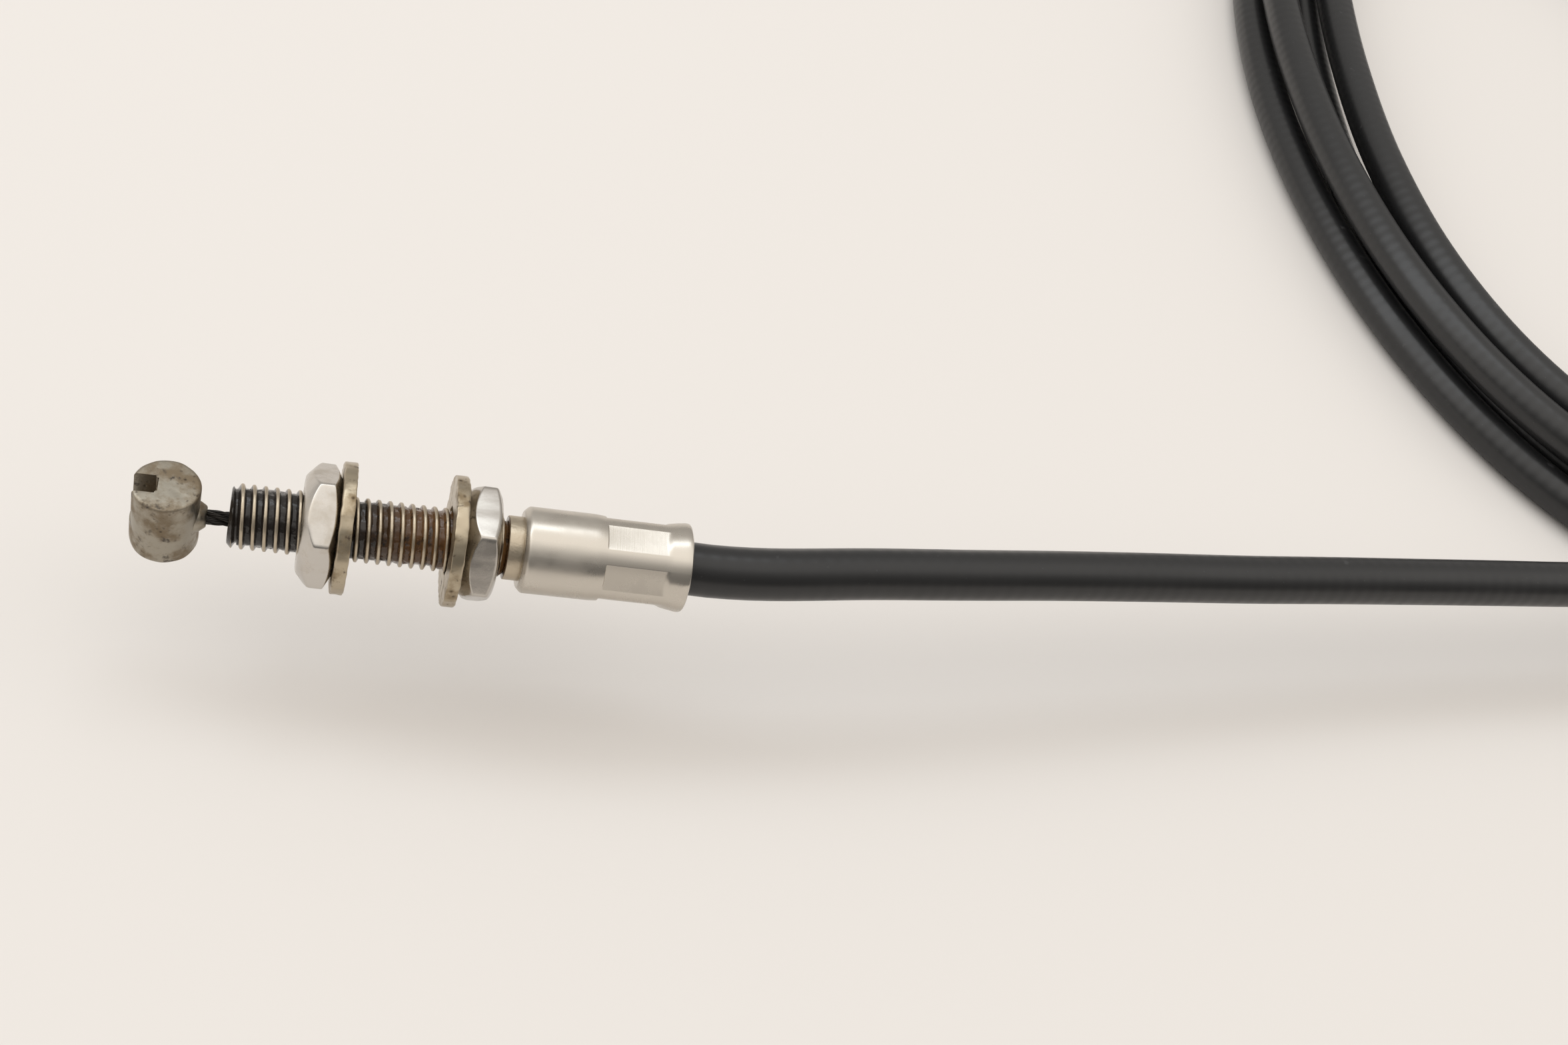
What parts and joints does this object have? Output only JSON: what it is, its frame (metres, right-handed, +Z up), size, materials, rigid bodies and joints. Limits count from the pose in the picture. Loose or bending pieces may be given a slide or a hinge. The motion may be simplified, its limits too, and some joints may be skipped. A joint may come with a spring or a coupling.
{
  "type": "control cable",
  "caption": "Sheathed push-pull control cable with a barrel nipple, a threaded adjuster with lock nuts and washers, a crimped ferrule and a coiled housing.",
  "frame": {"origin": "on the adjuster screw's axis, midway between the two washers, where the bracket's mid-plane sits", "axes": "+X along the fitting from the nipple to the housing, +Z up, away from the surface that the coil lies on"},
  "size_m": [0.2356, 0.2023, 0.0234],
  "materials": {
    "cast_zinc": "dull grey, stained",
    "steel_wire": "dark, greasy",
    "stained_screw": "yellowed zinc with grease",
    "satin_nut": "satin",
    "bright_nut": "bright",
    "dull_washer": "dull yellowish",
    "nickel_ferrule": "satin nickel",
    "black_jacket": "satin black",
    "conduit_steel": "plain",
    "white_liner": "plain",
    "tie_nylon": "natural nylon"
  },
  "bodies": {
    "fitting": {"adjuster_screw": "stained_screw", "crimp_ferrule": "nickel_ferrule", "jacket_end": "black_jacket", "conduit_end": "conduit_steel", "liner_end": "white_liner", "housing_run": "black_jacket", "run_conduit": "conduit_steel", "housing_coil": "black_jacket", "coil_conduit": "conduit_steel", "coil_tie": "tie_nylon", "far_jacket_end": "black_jacket", "far_conduit_end": "conduit_steel", "far_liner_end": "white_liner", "far_cap": "nickel_ferrule"},
    "pull_end": {"nipple": "cast_zinc", "inner_wire": "steel_wire"},
    "front_washer": {"front_washer": "dull_washer"},
    "front_nut": {"front_nut": "satin_nut"},
    "rear_washer": {"rear_washer": "dull_washer"},
    "rear_nut": {"rear_nut": "bright_nut"},
    "far_pull_end": {"far_inner_wire": "steel_wire", "far_nipple": "cast_zinc"}
  },
  "joints": [
    {"name": "wire_pull", "type": "slide", "parent": "fitting", "child": "pull_end", "axis": [-0.9998, 0, -0.0174], "range_m": [-0.0018, 0.012]},
    {"name": "far_wire_pull", "type": "slide", "parent": "fitting", "child": "far_pull_end", "axis": [0.9825, -0.1865, 0], "range_m": [-0.012, 0.0018]},
    {"name": "front_washer_slide", "type": "slide", "parent": "fitting", "child": "front_washer", "axis": [1, 0, 0], "range_m": [-0.0055, 0.0043]},
    {"name": "front_nut_turn", "type": "hinge", "parent": "front_washer", "child": "front_nut", "pos_m": [-0.0072, 0, 0], "axis": [1, 0, 0], "range_deg": [-1980.5, 1548.5]},
    {"name": "rear_washer_slide", "type": "slide", "parent": "fitting", "child": "rear_washer", "axis": [1, 0, 0], "range_m": [-0.0043, 0.0006]},
    {"name": "rear_nut_turn", "type": "hinge", "parent": "rear_washer", "child": "rear_nut", "pos_m": [0.0072, 0, 0], "axis": [1, 0, 0], "range_deg": [-1548.5, 216.5]}
  ],
  "couplings": [
    {"joint": "far_wire_pull", "follows": "wire_pull", "ratio": -1},
    {"joint": "front_nut_turn", "follows": "front_washer_slide", "rad_per_m": 6283.2},
    {"joint": "rear_nut_turn", "follows": "rear_washer_slide", "rad_per_m": 6283.2}
  ]
}
